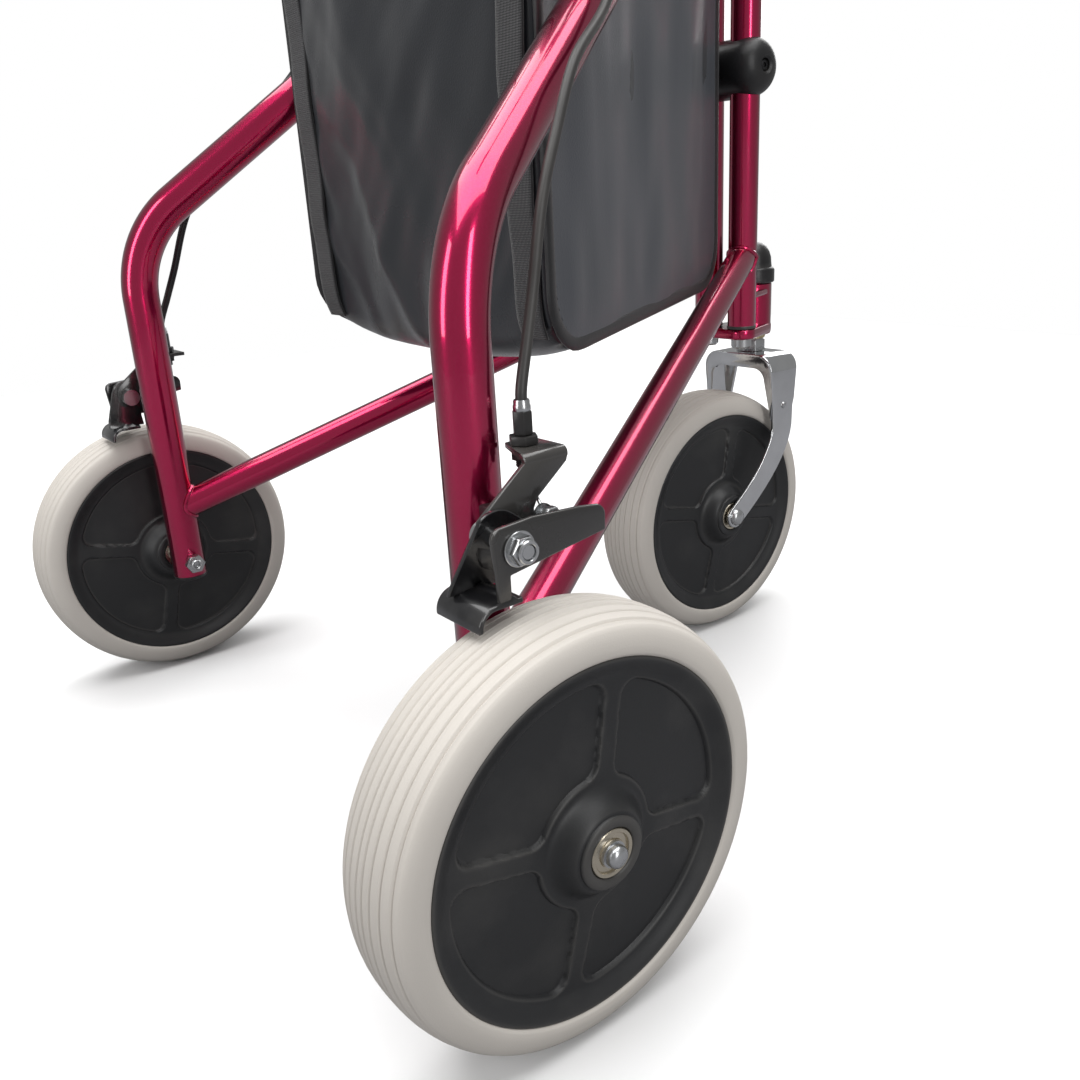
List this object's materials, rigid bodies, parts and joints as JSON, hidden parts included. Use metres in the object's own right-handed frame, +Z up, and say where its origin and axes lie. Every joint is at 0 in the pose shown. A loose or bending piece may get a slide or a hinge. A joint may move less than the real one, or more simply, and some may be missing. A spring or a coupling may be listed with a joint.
{
  "type": "rollator walker",
  "caption": "Folding wheeled walker with splayed tube side frames, swivelling front caster, loop hand brakes, height-adjustable grips and a tapered bag.",
  "frame": {"origin": "centre of the bounding box at floor level, under the walker as it stands open on its wheels", "axes": "+Z up, -Y is the direction of travel, -X is the user's right"},
  "size_m": [0.5942, 0.569, 0.8978],
  "materials": {
    "red_paint": "candy metallic gloss",
    "fork_chrome": "bright chrome plate",
    "zinc_steel": "zinc plated",
    "bearing_steel": "yellow passivated, satin",
    "black_paint": "gloss black enamel",
    "black_plastic": "moulded, fine grain",
    "cable_sheath": "smooth extruded sheath",
    "grey_tyre": "solid grey elastomer",
    "grey_rim": "satin moulded",
    "grip_rubber": "soft ribbed",
    "bag_vinyl": "coated vinyl with piping"
  },
  "bodies": {
    "head": {"head_tube": "red_paint", "stem_bushing": "black_plastic", "head_lug_lower": "red_paint", "head_lug_upper": "red_paint", "head_cap": "black_plastic", "hinge_pin_right": "zinc_steel", "hinge_pin_left": "zinc_steel", "hinge_clamp_lower": "black_plastic", "hinge_clamp_upper": "black_plastic", "bag": "bag_vinyl"},
    "caster": {"fork": "fork_chrome", "fork_stem": "zinc_steel", "stem_nut": "zinc_steel", "front_axle": "zinc_steel"},
    "front_wheel": {"front_tyre": "grey_tyre", "front_rim": "grey_rim", "front_bearing_a": "bearing_steel", "front_bearing_b": "bearing_steel"},
    "frame_right": {"main_tube_right": "red_paint", "hinge_tube_right": "red_paint", "lower_brace_right": "red_paint", "rear_axle_right": "zinc_steel", "brake_bracket_right": "black_paint", "brake_pivot_bolt_right": "zinc_steel", "cable_adjuster_right": "black_plastic", "brake_cable_right": "cable_sheath", "brace_bracket_right": "black_plastic"},
    "rear_wheel_right": {"rear_tyre_right": "grey_tyre", "rear_rim_right": "grey_rim", "rear_bearing_a_right": "bearing_steel", "rear_bearing_b_right": "bearing_steel"},
    "handle_right": {"handlebar_right": "red_paint", "grip_right": "grip_rubber", "lever_housing_right": "black_plastic"},
    "hand_brake_right": {"brake_loop_right": "black_plastic"},
    "shoe_lever_right": {"brake_lever_right": "black_paint"},
    "knob_right": {"height_knob_right": "black_plastic"},
    "brace_right": {"brace_link_right": "black_paint", "brace_latch": "black_plastic"},
    "frame_left": {"main_tube_left": "red_paint", "hinge_tube_left": "red_paint", "lower_brace_left": "red_paint", "rear_axle_left": "zinc_steel", "brake_bracket_left": "black_paint", "brake_pivot_bolt_left": "zinc_steel", "cable_adjuster_left": "black_plastic", "brake_cable_left": "cable_sheath", "brace_bracket_left": "black_plastic"},
    "rear_wheel_left": {"rear_tyre_left": "grey_tyre", "rear_rim_left": "grey_rim", "rear_bearing_a_left": "bearing_steel", "rear_bearing_b_left": "bearing_steel"},
    "handle_left": {"handlebar_left": "red_paint", "grip_left": "grip_rubber", "lever_housing_left": "black_plastic"},
    "hand_brake_left": {"brake_loop_left": "black_plastic"},
    "shoe_lever_left": {"brake_lever_left": "black_paint"},
    "knob_left": {"height_knob_left": "black_plastic"},
    "brace_left": {"brace_link_left": "black_paint"}
  },
  "joints": [
    {"name": "caster_swivel", "type": "hinge", "parent": "head", "child": "caster", "pos_m": [0, -0.2405, 0.25], "axis": [0, 0, 1], "continuous": true},
    {"name": "front_wheel_spin", "type": "hinge", "parent": "caster", "child": "front_wheel", "pos_m": [0, -0.1845, 0.1], "axis": [1, 0, 0], "continuous": true},
    {"name": "fold_right", "type": "hinge", "parent": "head", "child": "frame_right", "pos_m": [-0.0175, -0.2085, 0.3], "axis": [0, 0, -1], "range_deg": [0, 22], "deforming": ["bag"]},
    {"name": "brace_fold_right", "type": "hinge", "parent": "frame_right", "child": "brace_right", "pos_m": [-0.10681, 0.03017, 0.6], "axis": [0, 0, -1], "range_deg": [0, 62.2]},
    {"name": "rear_wheel_spin_right", "type": "hinge", "parent": "frame_right", "child": "rear_wheel_right", "pos_m": [-0.2608, 0.1845, 0.1], "axis": [1, 0, 0], "continuous": true},
    {"name": "handle_height_right", "type": "slide", "parent": "frame_right", "child": "handle_right", "axis": [0, 0, 1], "range_m": [-0.05, 0.075], "deforming": ["brake_cable_right"]},
    {"name": "hand_brake_squeeze_right", "type": "hinge", "parent": "handle_right", "child": "hand_brake_right", "pos_m": [-0.16175, 0.0883, 0.856], "axis": [0.8994, 0.4371, 0], "range_deg": [0, 10], "stiffness_Nm_per_rad": 1.5},
    {"name": "shoe_press_right", "type": "hinge", "parent": "frame_right", "child": "shoe_lever_right", "pos_m": [-0.25, 0.1975, 0.228], "axis": [-1, 0, 0], "range_deg": [0, 3.5]},
    {"name": "knob_turn_right", "type": "hinge", "parent": "frame_right", "child": "knob_right", "pos_m": [-0.15358, 0.00744, 0.684], "axis": [0.8994, 0.4371, 0], "continuous": true},
    {"name": "fold_left", "type": "hinge", "parent": "head", "child": "frame_left", "pos_m": [0.0175, -0.2085, 0.3], "axis": [0, 0, 1], "range_deg": [0, 22]},
    {"name": "brace_fold_left", "type": "hinge", "parent": "frame_left", "child": "brace_left", "pos_m": [0.10681, 0.03017, 0.6], "axis": [0, 0, 1], "range_deg": [0, 62.2]},
    {"name": "rear_wheel_spin_left", "type": "hinge", "parent": "frame_left", "child": "rear_wheel_left", "pos_m": [0.2608, 0.1845, 0.1], "axis": [1, 0, 0], "continuous": true},
    {"name": "handle_height_left", "type": "slide", "parent": "frame_left", "child": "handle_left", "axis": [0, 0, 1], "range_m": [-0.05, 0.075], "deforming": ["brake_cable_left"]},
    {"name": "hand_brake_squeeze_left", "type": "hinge", "parent": "handle_left", "child": "hand_brake_left", "pos_m": [0.16175, 0.0883, 0.856], "axis": [0.8994, -0.4371, 0], "range_deg": [0, 10], "stiffness_Nm_per_rad": 1.5},
    {"name": "shoe_press_left", "type": "hinge", "parent": "frame_left", "child": "shoe_lever_left", "pos_m": [0.25, 0.1975, 0.228], "axis": [-1, 0, 0], "range_deg": [0, 3.5]},
    {"name": "knob_turn_left", "type": "hinge", "parent": "frame_left", "child": "knob_left", "pos_m": [0.15358, 0.00744, 0.684], "axis": [0.8994, -0.4371, 0], "continuous": true}
  ],
  "couplings": [
    {"joint": "brace_fold_right", "follows": "fold_right", "ratio": 2.82},
    {"joint": "shoe_press_right", "follows": "hand_brake_squeeze_right", "ratio": 0.35},
    {"joint": "fold_left", "follows": "fold_right", "ratio": 1},
    {"joint": "brace_fold_left", "follows": "fold_right", "ratio": 2.82},
    {"joint": "shoe_press_left", "follows": "hand_brake_squeeze_left", "ratio": 0.35}
  ]
}
